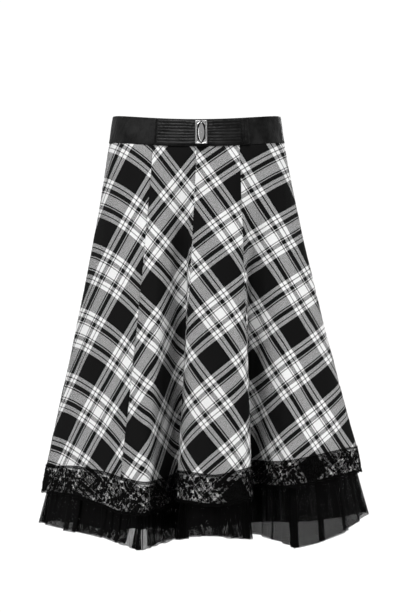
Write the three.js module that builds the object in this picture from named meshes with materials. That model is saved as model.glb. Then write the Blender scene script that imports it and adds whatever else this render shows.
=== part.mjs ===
import * as THREE from 'three';

// Millimetres. +Z is up, the front faces -Y and +X is the right of a front view.
// The origin is the middle of the waist, at half the height of the waistband.

// Cloth walls and the gaps between pieces
const CLOTH = 1.6;
const LACE = 1.0;
const NET = 1.0;
const SEAM = 0.3;
const TRIM_GAP = 0.4;

// Waistband: outer half widths at its upper and lower edge, and how far its front dips
const BAND = { half: 19.4, thick: 3.0, topX: 123, topY: 91, footX: 128.7, footY: 95.2, dip: 11 };

// Growth of the skirt from waist (0) to the lace's upper edge (1)
const FLARE = 1.17;
const FOLD_START = 0.06;
const FOLD_GROWTH = 1.25;
const HEM_FLARE = 0.7;

// Fold lines round the skirt, from the left side over the front to the right side and the back.
// turn: place on the waist in degrees, x and y: foot of the line at the lace's upper edge,
// fold: part of the foot's reach that the fold makes, z: height of the lace's upper edge,
// lace: length of lace below it, net: height of the tulle's hem, seam: a gore ends here
const LINE_COLUMNS = ['name', 'turn', 'x', 'y', 'fold', 'z', 'lace', 'net', 'seam'];
const LINE_ROWS = [
  ['left side', 0, -220, 0, 0, -489, 41, -574, true],
  ['left turn', 20, -197, -38, 0, -488, 43, -577, false],
  ['left front', 34, -172, -70, -6, -486, 45, -580, false],
  ['left dip', 48, -131, -104, -14, -491, 50, -584, false],
  ['left seam', 61, -107, -122, -10, -497, 52, -590, true],
  ['left crest', 69, -74, -146, 9, -502, 48, -597, false],
  ['centre slope', 76, -53, -100, -44, -502, 46, -598, false],
  ['centre recess left', 81, -32, -48, -95, -498, 45, -596, false],
  ['centre recess right', 85, -19, -46, -98, -494, 45, -594, false],
  ['centre seam', 90, -27, -102, -42, -489, 45, -588, true],
  ['centre left', 97, -10, -132, -12, -489, 45, -581, false],
  ['centre crest', 104, 26, -147, 2, -492, 45, -578, false],
  ['centre right', 111, 62, -132, -9, -486, 47, -583, false],
  ['right seam', 118.5, 78, -100, -38, -483, 46, -587, true],
  ['right recess left', 124, 71, -38, -98, -482, 41, -589, false],
  ['right recess right', 129, 84, -32, -98, -480, 40, -590, false],
  ['right slope', 136, 107, -82, -46, -478, 39, -592, false],
  ['right crest', 146, 134, -112, -6, -474, 40, -597, false],
  ['right front', 157, 176, -80, -10, -468, 40, -590, false],
  ['right turn', 169, 211, -44, 0, -463, 39, -575, false],
  ['right side', 180, 234, 0, 0, -462, 38, -560, true],
  ['back right turn', 193, 219, 44, 0, -465, 40, -568, false],
  ['back right crest', 206, 188, 86, 8, -469, 42, -578, false],
  ['back right dip', 220, 146, 84, -26, -473, 43, -583, false],
  ['back right seam', 238, 116, 118, 0, -476, 44, -586, true],
  ['back right fold', 249, 82, 138, 6, -480, 44, -589, false],
  ['back right valley', 260, 46, 114, -26, -483, 44, -591, false],
  ['back centre seam', 270, 6, 139, -2, -485, 44, -593, true],
  ['back left valley', 280, -34, 114, -26, -486, 44, -595, false],
  ['back left fold', 291, -70, 138, 6, -487, 44, -597, false],
  ['back left seam', 302, -104, 117, -2, -488, 44, -597, true],
  ['back left dip', 320, -132, 82, -26, -489, 43, -592, false],
  ['back left crest', 334, -174, 82, 8, -490, 42, -584, false],
  ['back left turn', 347, -206, 42, 0, -490, 41, -577, false],
];
const LINES = LINE_ROWS.map((row) =>
  Object.fromEntries(LINE_COLUMNS.map((column, k) => [column, row[k]])));

// Samples of the cloth: steps between two fold lines, and rows from waist to lace
const STEPS = 3;
const ROWS = 8;

// Gores, named from the left side seam on
const GORES = ['gore_front_left_side', 'gore_front_left', 'gore_front_right',
  'gore_front_right_side', 'gore_back_right_side', 'gore_back_right',
  'gore_back_left', 'gore_back_left_side'];

// Lace: edges of its rows as shares of its depth, the rows that are cut through, the width of a
// gap, how far gaps are set up and down in turn, and the narrowest stretch that holds one
const LACE_ROWS = [0, 0.22, 0.35, 0.62, 0.75, 1];
const LACE_CUT_ROWS = [1, 3];
const LACE_GAP = { width: 5.4, stagger: 0.055, lean: 0.02, stretch: 9.5 };
const LACE_BELOW_CLOTH = 5;

// Tulle flounce: where it is sewn on, its gathers and how it stands off the cloth
const TULLE = { top: 0.95, steps: 2, inHem: 8, hem: 4, waveHem: 4.5, waveTop: 1.0, fullWidth: 7 };

// Pleated sash on the front of the band, its two keepers and the buckle
const SASH = { from: -57, to: 64, half: 17.6, pinch: 1.9, pinchWidth: 16, tucks: 8, low: 1.0,
  high: 2.5, columns: 13 };
const KEEPERS = [
  { name: 'keeper_left', from: -62.5, to: -57.3, thick: 2.6 },
  { name: 'keeper_right', from: 64.3, to: 74.5, thick: 2.6 },
];
const BUCKLE = { x: 6.6, width: 17, height: 33.6, thick: 2.6, bevel: 0.6, corner: 1.2 };
const STONE = { halfWidth: 4.7, halfLength: 14.2, dome: 2.3, back: 1.2, points: 20 };

const COLOURS = { plaid: 0x77777a, band: 0x18181a, lace: 0x0c0c0d, net: 0x141416,
  metal: 0xb9bbbf, stone: 0xd9dde2 };

const group = new THREE.Group();
const radians = (degrees) => degrees * Math.PI / 180;
const mix = (a, b, share) => a + (b - a) * share;
const mixPoint = (a, b, share) => a.map((value, k) => mix(value, b[k], share));
const along = (point, direction, distance) => point.map((v, k) => v + direction[k] * distance);
const cross = (a, b) => [a[1] * b[2] - a[2] * b[1], a[2] * b[0] - a[0] * b[2],
  a[0] * b[1] - a[1] * b[0]];
const unit = (a) => a.map((value) => value / Math.hypot(...a));
const range = (count) => Array.from({ length: count }, (_, k) => k);

function addMesh(name, geometry, colour, metalness = 0, roughness = 0.85) {
  const material = new THREE.MeshStandardMaterial({ color: colour, metalness, roughness });
  const mesh = new THREE.Mesh(geometry, material);
  mesh.name = name;
  group.add(mesh);
}

function fromPoints(points) {
  const geometry = new THREE.BufferGeometry();
  geometry.setAttribute('position', new THREE.Float32BufferAttribute(points, 3));
  geometry.computeVertexNormals();
  return geometry;
}

// Closed wall between an outer and an inner grid of points, with cells left out where keep says so
function wall(outer, inner, keep = () => true) {
  const rows = outer.length - 1;
  const columns = outer[0].length - 1;
  const points = [];
  const quad = (a, b, c, d) => points.push(...a, ...b, ...c, ...a, ...c, ...d);
  const solid = (i, j) => i >= 0 && i < rows && j >= 0 && j < columns && keep(j, i);
  for (let i = 0; i < rows; i += 1) {
    for (let j = 0; j < columns; j += 1) {
      if (!solid(i, j)) continue;
      const [a, b, c, d] = [outer[i][j], outer[i + 1][j], outer[i + 1][j + 1], outer[i][j + 1]];
      const [e, f, g, h] = [inner[i][j], inner[i + 1][j], inner[i + 1][j + 1], inner[i][j + 1]];
      quad(a, b, c, d);
      quad(e, h, g, f);
      if (!solid(i - 1, j)) quad(a, d, h, e);
      if (!solid(i + 1, j)) quad(c, b, f, g);
      if (!solid(i, j - 1)) quad(b, a, e, f);
      if (!solid(i, j + 1)) quad(d, c, g, h);
    }
  }
  return fromPoints(points);
}

// Height that the front of the waist loses against its sides and back
function dipAt(turn) {
  const front = Math.max(0, Math.sin(radians(turn)));
  return -BAND.dip * front * front;
}

// Point of one fold line at a share of the way down
function linePoint(line, share) {
  const angle = radians(line.turn);
  const top = [-BAND.footX * Math.cos(angle), -BAND.footY * Math.sin(angle),
    -BAND.half - SEAM + dipAt(line.turn)];
  const out = unit([-BAND.footY * Math.cos(angle), -BAND.footX * Math.sin(angle), 0]);
  const within = Math.min(Math.max(share, 0), 1);
  const beyond = Math.max(0, share - 1);
  const grow = within ** FLARE + HEM_FLARE * FLARE * beyond;
  const fold = line.fold * (Math.max(0, (within - FOLD_START) / (1 - FOLD_START)) ** FOLD_GROWTH
    + HEM_FLARE * beyond);
  const foot = [line.x - out[0] * line.fold, line.y - out[1] * line.fold];
  return [mix(top[0], foot[0], grow) + out[0] * fold, mix(top[1], foot[1], grow) + out[1] * fold,
    mix(top[2], line.z, share)];
}

// Smooth value round the lines, through each of them
function blend(values, place) {
  const count = values.length;
  const first = Math.floor(place);
  const u = place - first;
  const [a, b, c, d] = [-1, 0, 1, 2].map((step) => values[(first + step + count) % count]);
  return b.map((value, k) => 0.5 * (2 * value + (c[k] - a[k]) * u
    + (2 * a[k] - 5 * b[k] + 4 * c[k] - d[k]) * u * u + (3 * b[k] - a[k] - 3 * c[k] + d[k]) * u ** 3));
}
const clothPoint = (place, share) => blend(LINES.map((line) => linePoint(line, share)), place);
const lineValue = (column, place) => blend(LINES.map((line) => [line[column]]), place)[0];

// Direction out of the cloth
function clothNormal(place, share) {
  const step = 0.02;
  const between = (a, b) => a.map((v, k) => v - b[k]);
  const across = between(clothPoint(place + step, share), clothPoint(place - step, share));
  const down = between(clothPoint(place, share + step), clothPoint(place, share - step));
  return unit(cross(down, across));
}

// Share of the way down at a height measured along z
function shareAtHeight(place, height) {
  const top = clothPoint(place, 0)[2];
  return (height - top) / (clothPoint(place, 1)[2] - top);
}
const laceEnd = (place) => shareAtHeight(place, lineValue('z', place) - lineValue('lace', place));
const clothEnd = (place) => shareAtHeight(place,
  lineValue('z', place) - lineValue('lace', place) + LACE_BELOW_CLOTH);

// Column of the cloth, moved out by a distance, at one of its sample places
function columnPoint(place, share, out) {
  return along(clothPoint(place, share), clothNormal(place, share), out);
}

// The same, straight between the cloth's samples and rows, so that trim follows its flat faces
function facetPoint(place, share, out) {
  const left = Math.floor(place * STEPS + 1e-9) / STEPS;
  const right = left + 1 / STEPS;
  const row = Math.min(ROWS - 1, Math.floor(share * ROWS)) / ROWS;
  const column = (at) => {
    if (share <= 1) {
      return mixPoint(columnPoint(at, row, out), columnPoint(at, row + 1 / ROWS, out),
        (share - row) * ROWS);
    }
    const end = clothEnd(at);
    return mixPoint(columnPoint(at, 1, out), columnPoint(at, end, out), (share - 1) / (end - 1));
  };
  return mixPoint(column(left), column(right), (place - left) * STEPS);
}

// Gores of plaid cloth
const seams = range(LINES.length).filter((k) => LINES[k].seam);
const ends = [...seams, LINES.length];
GORES.forEach((name, k) => {
  const columns = (ends[k + 1] - ends[k]) * STEPS;
  const place = (j, share) => {
    const at = ends[k] + j / STEPS;
    if (j > 0 && j < columns) return at;
    const side = j === 0 ? 1 : -1;
    const next = at + side / STEPS;
    const length = Math.hypot(...clothPoint(at, share).map((v, n) => v - clothPoint(next, share)[n]));
    return { at, next, part: 0.5 * SEAM / length };
  };
  const grid = (out) => range(ROWS + 2).map((i) => range(columns + 1).map((j) => {
    const share = (at) => (i <= ROWS ? i / ROWS : clothEnd(at));
    const spot = place(j, Math.min(1, i / ROWS));
    if (typeof spot === 'number') return columnPoint(spot, share(spot), out);
    return mixPoint(columnPoint(spot.at, share(spot.at), out),
      columnPoint(spot.next, share(spot.next), out), spot.part);
  }));
  addMesh(name, wall(grid(0), grid(-CLOTH)), COLOURS.plaid);
});

// Lace strips, laid on the cloth in front and at the back, with a pair of gaps in each wide stretch
function laceStrip(name, from, to) {
  const places = [];
  const shifts = [];
  range((to - from) * STEPS).forEach((k) => {
    const [left, right] = [k, k + 1].map((n) => from + n / STEPS);
    const length = Math.hypot(...columnPoint(left, 1, 0).map((v, n) => v - columnPoint(right, 1, 0)[n]));
    places.push(k === 0 ? left + 0.5 * SEAM / length / STEPS : left);
    shifts.push(0);
    if (length < LACE_GAP.stretch) return;
    const half = 0.5 * LACE_GAP.width / length;
    const shift = (k % 2 ? 1 : -1) * LACE_GAP.stagger;
    places.push(left + (0.5 - half) / STEPS, left + (0.5 + half) / STEPS);
    shifts.push(shift - LACE_GAP.lean, shift + LACE_GAP.lean);
  });
  places.push(to - 0.002);
  shifts.push(0);
  const last = LACE_ROWS.length - 1;
  const grid = (out) => LACE_ROWS.map((down, i) => places.map((place, j) =>
    facetPoint(place, mix(1, laceEnd(place), down + (i > 0 && i < last ? shifts[j] : 0)), out)));
  const keep = (j, i) => !(LACE_CUT_ROWS.includes(i) && shifts[j] && shifts[j + 1]);
  addMesh(name, wall(grid(TRIM_GAP + LACE), grid(TRIM_GAP), keep), COLOURS.lace);
}
const rightSide = LINES.findIndex((line) => line.name === 'right side');
laceStrip('lace_front', 0, rightSide);
laceStrip('lace_back', rightSide, LINES.length);

// Gathered tulle, sewn inside the cloth above the lace
function tulle(name, from, to) {
  const count = (to - from) * STEPS * TULLE.steps;
  const places = range(count + 1).map((j) => {
    if (j === 0) return from + 0.004;
    if (j === count) return to - 0.004;
    return from + j / (STEPS * TULLE.steps);
  });
  const wave = (j) => (j % 2 ? 1 : -1) * (0.75 + 0.25 * Math.sin(j * 1.7));
  const room = (place) => {
    const [a, b] = [-1, 1].map((side) => columnPoint(place + side / STEPS / TULLE.steps, 1, -TULLE.inHem));
    return Math.min(1, Math.hypot(...a.map((v, n) => v - b[n])) / 2 / TULLE.fullWidth);
  };
  const rooms = places.map(room);
  const rows = [
    (place, j) => [TULLE.top, -CLOTH - TRIM_GAP - TULLE.waveTop * (1 + wave(j)) / 2],
    (place, j) => [laceEnd(place), -TULLE.inHem + 0.7 * TULLE.waveHem * wave(j) * rooms[j]],
    (place, j) => [shareAtHeight(place, lineValue('net', place)),
      -TULLE.hem + TULLE.waveHem * wave(j) * rooms[j]],
  ];
  const grid = (depth) => rows.map((row) => places.map((place, j) => {
    const [share, out] = row(place, j);
    return share < 1 ? facetPoint(place, share, out - depth) : columnPoint(place, share, out - depth);
  }));
  addMesh(name, wall(grid(0), grid(NET)), COLOURS.net);
}
tulle('tulle_front', 0, rightSide);
tulle('tulle_back', rightSide, LINES.length);

// Point on the outside of the waistband, by its turn and its height from the middle
function bandPoint(turn, height, out) {
  const down = 0.5 - height / (2 * BAND.half);
  const angle = radians(turn);
  const [x, y] = [mix(BAND.topX, BAND.footX, down), mix(BAND.topY, BAND.footY, down)];
  const point = [-x * Math.cos(angle), -y * Math.sin(angle), height + dipAt(turn)];
  const normal = unit([-y * Math.cos(angle), -x * Math.sin(angle), 0]);
  return along(point, normal, out);
}
const turnAtX = (x) => Math.acos(-x / mix(BAND.topX, BAND.footX, 0.5)) * 180 / Math.PI;

// Waistband, seamed at the sides
function bandHalf(name, from, to) {
  const gap = 0.07;
  const turns = range(33).map((k) => mix(from + gap, to - gap, k / 32));
  const heights = [BAND.half, 0, -BAND.half];
  const grid = (out) => heights.map((height) => turns.map((turn) => bandPoint(turn, height, out)));
  addMesh(name, wall(grid(0), grid(-BAND.thick)), COLOURS.band);
}
bandHalf('waistband_front', 0, 180);
bandHalf('waistband_back', 180, 360);

// Sash with lengthwise tucks, drawn in behind the buckle
const sashTurns = range(SASH.columns + 1).map((k) =>
  turnAtX(mix(SASH.from, SASH.to, k / SASH.columns)));
function sashHalfAt(turn) {
  const x = bandPoint(turn, 0, 0)[0] - BUCKLE.x;
  return SASH.half - SASH.pinch * Math.exp(-((x / SASH.pinchWidth) ** 2));
}
const tuckLines = range(SASH.tucks * 2 + 1);
const sashGrid = (relief) => tuckLines.map((i) => sashTurns.map((turn) => {
  const half = sashHalfAt(turn);
  const ridge = i % 2 ? SASH.high : SASH.low;
  const lean = i % 2 ? 0.35 : 0;
  return bandPoint(turn, half - (i + lean) * half / SASH.tucks, SEAM + (relief ? ridge : 0));
}));
addMesh('sash', wall(sashGrid(true), sashGrid(false)), COLOURS.band);

// Keepers, the upright strips that hold the ends of the sash
KEEPERS.forEach(({ name, from, to, thick }) => {
  const turns = [from, (from + to) / 2, to].map(turnAtX);
  const heights = [18.6, 0, -18.6];
  const edge = (j) => (j === 1 ? thick : thick - 0.7);
  const outer = heights.map((height) => turns.map((turn, j) => bandPoint(turn, height, SEAM + edge(j))));
  const inner = heights.map((height) => turns.map((turn) => bandPoint(turn, height, SEAM)));
  addMesh(name, wall(outer, inner), COLOURS.band);
});

// Outline of the stone, pointed at both ends, grown by a margin
function stoneOutline(margin) {
  const [w, h] = [STONE.halfWidth + margin, STONE.halfLength + margin];
  const radius = (w * w + h * h) / (2 * w);
  const arc = (side) => range(STONE.points / 2).map((k) => {
    const y = side * mix(h, -h, k / (STONE.points / 2));
    return [side * (Math.sqrt(radius * radius - y * y) - radius + w), y];
  });
  return [...arc(-1), ...arc(1)];
}

// Buckle frame and stone, built lying down and stood against the sash
const stand = new THREE.Matrix4();
{
  const turn = turnAtX(BUCKLE.x);
  const lean = Math.atan((BAND.footY - BAND.topY) / (2 * BAND.half));
  const seat = bandPoint(turn, 0, SEAM + SASH.high + SEAM + 0.35);
  const yaw = Math.atan2(seat[0] * BAND.footY ** 2, -seat[1] * BAND.footX ** 2);
  stand.makeRotationZ(yaw).multiply(new THREE.Matrix4().makeRotationX(Math.PI / 2 - lean));
  stand.setPosition(BUCKLE.x, seat[1], dipAt(turn));
}
const plate = new THREE.Shape();
{
  const [w, h, r] = [BUCKLE.width / 2 - BUCKLE.bevel, BUCKLE.height / 2 - BUCKLE.bevel, BUCKLE.corner];
  plate.moveTo(-w + r, -h);
  plate.lineTo(w - r, -h).lineTo(w, -h + r).lineTo(w, h - r).lineTo(w - r, h);
  plate.lineTo(-w + r, h).lineTo(-w, h - r).lineTo(-w, -h + r).closePath();
}
plate.holes.push(new THREE.Path(stoneOutline(SEAM + BUCKLE.bevel).map(([x, y]) =>
  new THREE.Vector2(x, y))));
const frame = new THREE.ExtrudeGeometry(plate, { depth: BUCKLE.thick - 2 * BUCKLE.bevel,
  bevelThickness: BUCKLE.bevel, bevelSize: BUCKLE.bevel, bevelSegments: 1, curveSegments: 4 });
frame.translate(0, 0, BUCKLE.bevel);
frame.applyMatrix4(stand);
addMesh('buckle_frame', frame, COLOURS.metal, 1, 0.25);

const stonePoints = [];
{
  const outline = stoneOutline(0).reverse();
  const ring = (scale, z) => outline.map(([x, y]) => [x * scale, y * scale, z]);
  const rings = [ring(1, 0.2), ring(1, STONE.back + 0.6), ring(0.82, STONE.back + 0.6 + STONE.dome * 0.6),
    ring(0.5, STONE.back + 0.6 + STONE.dome * 0.92)];
  const cap = (points, z, up) => points.forEach((point, k) => {
    const next = points[(k + 1) % points.length];
    stonePoints.push(0, 0, z, ...(up ? point : next), ...(up ? next : point));
  });
  rings.slice(1).forEach((upper, n) => upper.forEach((point, k) => {
    const next = (k + 1) % upper.length;
    const lower = rings[n];
    stonePoints.push(...lower[k], ...lower[next], ...upper[next], ...lower[k], ...upper[next], ...point);
  }));
  cap(rings[0], 0.2, false);
  cap(rings[3], STONE.back + 0.6 + STONE.dome, true);
}
const stone = fromPoints(stonePoints);
stone.applyMatrix4(stand);
addMesh('buckle_stone', stone, COLOURS.stone, 0, 0.1);

export default group;
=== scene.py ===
import math
from functools import partialmethod
import bpy
import numpy as np
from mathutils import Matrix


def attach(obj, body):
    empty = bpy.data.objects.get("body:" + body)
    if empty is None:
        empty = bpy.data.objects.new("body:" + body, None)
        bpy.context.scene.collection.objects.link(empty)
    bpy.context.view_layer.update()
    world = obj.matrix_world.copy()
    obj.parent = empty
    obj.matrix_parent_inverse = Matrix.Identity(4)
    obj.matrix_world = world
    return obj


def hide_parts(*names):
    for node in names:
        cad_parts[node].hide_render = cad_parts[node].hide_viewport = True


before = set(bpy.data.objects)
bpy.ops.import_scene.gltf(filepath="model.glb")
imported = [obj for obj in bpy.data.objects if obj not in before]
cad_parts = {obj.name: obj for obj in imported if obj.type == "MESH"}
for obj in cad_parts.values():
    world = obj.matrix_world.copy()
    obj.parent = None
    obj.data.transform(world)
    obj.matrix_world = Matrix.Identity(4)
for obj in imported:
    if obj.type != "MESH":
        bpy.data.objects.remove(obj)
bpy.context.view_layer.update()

# Lengths in the tables are millimetres; meshes are written in metres
MM = 0.001
rng = np.random.default_rng(7)

# The skirt's surface has the fold lines and the growth of the solids
BAND = dict(half=19.4, thick=3.0, top_x=123, top_y=91, foot_x=128.7, foot_y=95.2, dip=11)
# Gap between pieces that touch
SEAM = 0.3
# Growth from the waist (0) to the lace's upper edge (1), of the skirt and of its folds
FLARE, FOLD_START, FOLD_GROWTH, HEM_FLARE = 1.17, 0.06, 1.25, 0.7
# Fold lines from the left side over the front to the right side and the back. turn: place on the
# waist in degrees, x and y: foot of the line at the lace's upper edge, fold: part of the foot's
# reach that the fold makes, z: height of the lace's upper edge, lace: length of lace below it,
# net: height of the tulle's hem, seam: a gore ends here
COLUMNS = ("turn", "x", "y", "fold", "z", "lace", "net", "seam")
LINES = [
    ("left side", 0, -220, 0, 0, -489, 41, -574, 1),
    ("left turn", 20, -197, -38, 0, -488, 43, -577, 0),
    ("left front", 34, -172, -70, -6, -486, 45, -580, 0),
    ("left dip", 48, -131, -104, -14, -491, 50, -584, 0),
    ("left seam", 61, -107, -122, -10, -497, 52, -590, 1),
    ("left crest", 69, -74, -146, 9, -502, 48, -597, 0),
    ("centre slope", 76, -53, -100, -44, -502, 46, -598, 0),
    ("centre recess left", 81, -32, -48, -95, -498, 45, -596, 0),
    ("centre recess right", 85, -19, -46, -98, -494, 45, -594, 0),
    ("centre seam", 90, -27, -102, -42, -489, 45, -588, 1),
    ("centre left", 97, -10, -132, -12, -489, 45, -581, 0),
    ("centre crest", 104, 26, -147, 2, -492, 45, -578, 0),
    ("centre right", 111, 62, -132, -9, -486, 47, -583, 0),
    ("right seam", 118.5, 78, -100, -38, -483, 46, -587, 1),
    ("right recess left", 124, 71, -38, -98, -482, 41, -589, 0),
    ("right recess right", 129, 84, -32, -98, -480, 40, -590, 0),
    ("right slope", 136, 107, -82, -46, -478, 39, -592, 0),
    ("right crest", 146, 134, -112, -6, -474, 40, -597, 0),
    ("right front", 157, 176, -80, -10, -468, 40, -590, 0),
    ("right turn", 169, 211, -44, 0, -463, 39, -575, 0),
    ("right side", 180, 234, 0, 0, -462, 38, -560, 1),
    ("back right turn", 193, 219, 44, 0, -465, 40, -568, 0),
    ("back right crest", 206, 188, 86, 8, -469, 42, -578, 0),
    ("back right dip", 220, 146, 84, -26, -473, 43, -583, 0),
    ("back right seam", 238, 116, 118, 0, -476, 44, -586, 1),
    ("back right fold", 249, 82, 138, 6, -480, 44, -589, 0),
    ("back right valley", 260, 46, 114, -26, -483, 44, -591, 0),
    ("back centre seam", 270, 6, 139, -2, -485, 44, -593, 1),
    ("back left valley", 280, -34, 114, -26, -486, 44, -595, 0),
    ("back left fold", 291, -70, 138, 6, -487, 44, -597, 0),
    ("back left seam", 302, -104, 117, -2, -488, 44, -597, 1),
    ("back left dip", 320, -132, 82, -26, -489, 43, -592, 0),
    ("back left crest", 334, -174, 82, 8, -490, 42, -584, 0),
    ("back left turn", 347, -206, 42, 0, -490, 41, -577, 0),
]
LINE = {name: np.array([float(row[k + 1]) for row in LINES]) for k, name in enumerate(COLUMNS)}
COUNT = len(LINES)
SEAM_LINES = [k for k in range(COUNT) if LINE["seam"][k]] + [COUNT]
RIGHT_SIDE = [row[0] for row in LINES].index("right side")
GORES = ["gore_front_left_side", "gore_front_left", "gore_front_right", "gore_front_right_side",
         "gore_back_right_side", "gore_back_right", "gore_back_left", "gore_back_left_side"]
# Either side of the skirt: its first and last fold line, and its gores
SIDES = {"front": (0, RIGHT_SIDE, GORES[:4]), "back": (RIGHT_SIDE, COUNT, GORES[4:])}
# The plaid ends this far above the lace's lower edge
CLOTH_SHORT = 5
# Small forms of the cloth, in mm: a seam's ditch, the swelling beside it, its puckers, two
# families of soft waves and the pinch under the waistband
DITCH, SWELL, PUCKER, WAVES, PINCH = 0.75, 0.22, 0.12, (0.4, 0.224), 1.0
# A seam in the side of a fold deeper than this is rolled smooth
SMOOTH_DEPTH = 25


def unit(v):
    return v / np.linalg.norm(v, axis=-1, keepdims=True)


def bump(x, width):
    return np.exp(-(x / width) ** 2)


def pair(x, y):
    return np.stack([x, y], -1)


def circle(count):
    """Points of a unit circle."""
    angle = np.linspace(0, 2 * np.pi, count + 1)[:-1]
    return pair(np.cos(angle), np.sin(angle))


def steps(points, axis=0):
    """Distance from each point to the next."""
    return np.linalg.norm(np.diff(points, axis=axis), axis=-1)


def running(lengths):
    """Lengths added up, from 0."""
    return np.concatenate([[0], np.cumsum(lengths)])


def blend(function, place):
    """Catmull-Rom value round the fold lines."""
    first = np.floor(place + 1e-9).astype(int)
    u = place - first
    shares = (0.5 * (-u + 2 * u**2 - u**3), 0.5 * (2 - 5 * u**2 + 3 * u**3),
              0.5 * (u + 4 * u**2 - 3 * u**3), 0.5 * (-u**2 + u**3))
    total = 0
    for step, share in enumerate(shares):
        value = function((first + step - 1) % COUNT)
        total = total + (share[..., None] if value.ndim > share.ndim else share) * value
    return total


def line_value(name, place):
    """A column of the fold lines' table at any place round the skirt."""
    return blend(lambda k: LINE[name][k], np.asarray(place, float))


def dip_at(angle):
    """How far the waist lies lower in front."""
    return -BAND["dip"] * np.maximum(0, np.sin(angle)) ** 2


def line_point(k, share):
    """Point on a fold line; share is 0 at the waist and 1 at the lace's upper edge."""
    angle = np.radians(LINE["turn"][k])
    c, s = np.cos(angle), np.sin(angle)
    waist = pair(-BAND["foot_x"] * c, -BAND["foot_y"] * s)
    waist_z = -BAND["half"] - SEAM + dip_at(angle)
    out = unit(pair(-BAND["foot_y"] * c, -BAND["foot_x"] * s))
    within = np.clip(share, 0, 1)
    beyond = np.maximum(0, share - 1)
    grow = within ** FLARE + HEM_FLARE * FLARE * beyond
    opened = np.maximum(0, (within - FOLD_START) / (1 - FOLD_START)) ** FOLD_GROWTH
    fold = LINE["fold"][k] * (opened + HEM_FLARE * beyond)
    foot = pair(LINE["x"][k], LINE["y"][k]) - out * LINE["fold"][k][..., None]
    xy = waist + (foot - waist) * grow[..., None] + out * fold[..., None]
    z = waist_z + (LINE["z"][k] - waist_z) * share
    return np.concatenate([xy, z[..., None]], -1)


def cloth(place, share):
    """Point on the plain surface, by its place round the skirt and its share of the way down."""
    place, share = np.broadcast_arrays(np.asarray(place, float), np.asarray(share, float))
    return blend(lambda k: line_point(k, share), place)


def normal(place, share):
    h = 0.02
    across = cloth(place + h, share) - cloth(place - h, share)
    down = cloth(place, share + h) - cloth(place, share - h)
    return unit(np.cross(down, across))


def share_at(place, height):
    top = cloth(place, 0)[..., 2]
    return (height - top) / (cloth(place, 1)[..., 2] - top)


def lace_end(place, above=0.0):
    """Share at which the lace ends, or at so many mm above its end."""
    return share_at(place, line_value("z", place) - line_value("lace", place) + above)


def seam_distance(place, share):
    """Signed distance from the nearest seam in mm, measured round the skirt."""
    gap = place[..., None] - np.array(SEAM_LINES, float)
    nearest = np.take_along_axis(gap, np.abs(gap).argmin(-1)[..., None], -1)[..., 0]
    step = 0.05
    ahead = cloth(place + step, share) - cloth(place - step, share)
    return nearest * np.linalg.norm(ahead, axis=-1) / (2 * step)


def relief(place, share):
    """Small uneven forms of the cloth: sewn seams, their puckers and soft dents, in mm outwards."""
    d = seam_distance(place, share)
    fade = np.clip(share * 12, 0, 1)
    depth = np.abs(line_value("fold", place)) * np.clip(share, 0, 1.2) ** FOLD_GROWTH
    flat_seam = np.clip(1 - depth / SMOOTH_DEPTH, 0, 1)
    ditch = SWELL * bump(np.abs(d) - 4.0, 2.6) - DITCH * bump(d, 1.3)
    pucker = PUCKER * bump(d, 8) * np.sin(share * 88 + np.sin(place * 5.1) * 2) * np.sign(d)
    waves = (WAVES[0] * np.sin(place * 2.3 + share * 9 + 1.1) * np.sin(share * 15 + place * 0.7)
             + WAVES[1] * np.sin(place * 5.7 - share * 13) * np.sin(share * 31 + place * 1.9 + 0.6))
    seam = (ditch + pucker * fade) * flat_seam * np.clip(share * 30, 0.25, 1)
    return seam + waves * fade - PINCH * bump(share, 0.012)


def skin(place, share, out=0.0):
    """Point on the cloth's outside, with its small forms, moved out by a distance."""
    place, share = np.broadcast_arrays(np.asarray(place, float), np.asarray(share, float))
    return cloth(place, share) + normal(place, share) * (relief(place, share) + out)[..., None]


# Meshes and materials
def make_mesh(name, points, faces, uv=None, smooth=True):
    """Object from points in mm and a face list or array; uv is one pair for each point."""
    mesh = bpy.data.meshes.new(name)
    points = np.asarray(points, float).reshape(-1, 3) * MM
    mesh.from_pydata(points.tolist(), [], faces if isinstance(faces, list) else faces.tolist())
    if uv is not None:
        layer = mesh.uv_layers.new(name="flat")
        corner = np.empty(len(mesh.loops), np.int32)
        mesh.loops.foreach_get("vertex_index", corner)
        values = np.asarray(uv, float).reshape(-1, 2)[corner]
        layer.data.foreach_set("uv", values.astype(np.float32).ravel())
    if smooth:
        mesh.polygons.foreach_set("use_smooth", np.ones(len(mesh.polygons), bool))
    mesh.update()
    obj = bpy.data.objects.new(name, mesh)
    bpy.context.scene.collection.objects.link(obj)
    return obj


def grid_faces(rows, columns, start=0, flip=False, wrap=False):
    """Quads of a grid of points; wrap joins its last column to its first."""
    across = columns if wrap else columns - 1
    i, j = np.meshgrid(np.arange(rows - 1), np.arange(across), indexing="ij")
    k = (j + 1) % columns
    quads = np.stack([i * columns + j, (i + 1) * columns + j, (i + 1) * columns + k, i * columns + k], -1)
    quads = quads.reshape(-1, 4) + start
    return quads[:, ::-1] if flip else quads


def shell(name, outer, inner, uv):
    """Closed thin shell between two grids of points."""
    rows, columns = outer.shape[:2]
    size = rows * columns
    index = np.arange(size).reshape(rows, columns)
    rim = np.concatenate([index[:-1, 0], index[-1, :-1], index[:0:-1, -1], index[0, :0:-1]])
    after = np.roll(rim, -1)
    edge = np.stack([rim, rim + size, after + size, after], -1)
    faces = np.concatenate([grid_faces(rows, columns), grid_faces(rows, columns, size, flip=True), edge])
    points = np.concatenate([outer.reshape(-1, 3), inner.reshape(-1, 3)])
    return make_mesh(name, points, faces, np.concatenate([uv.reshape(-1, 2)] * 2))


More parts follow.
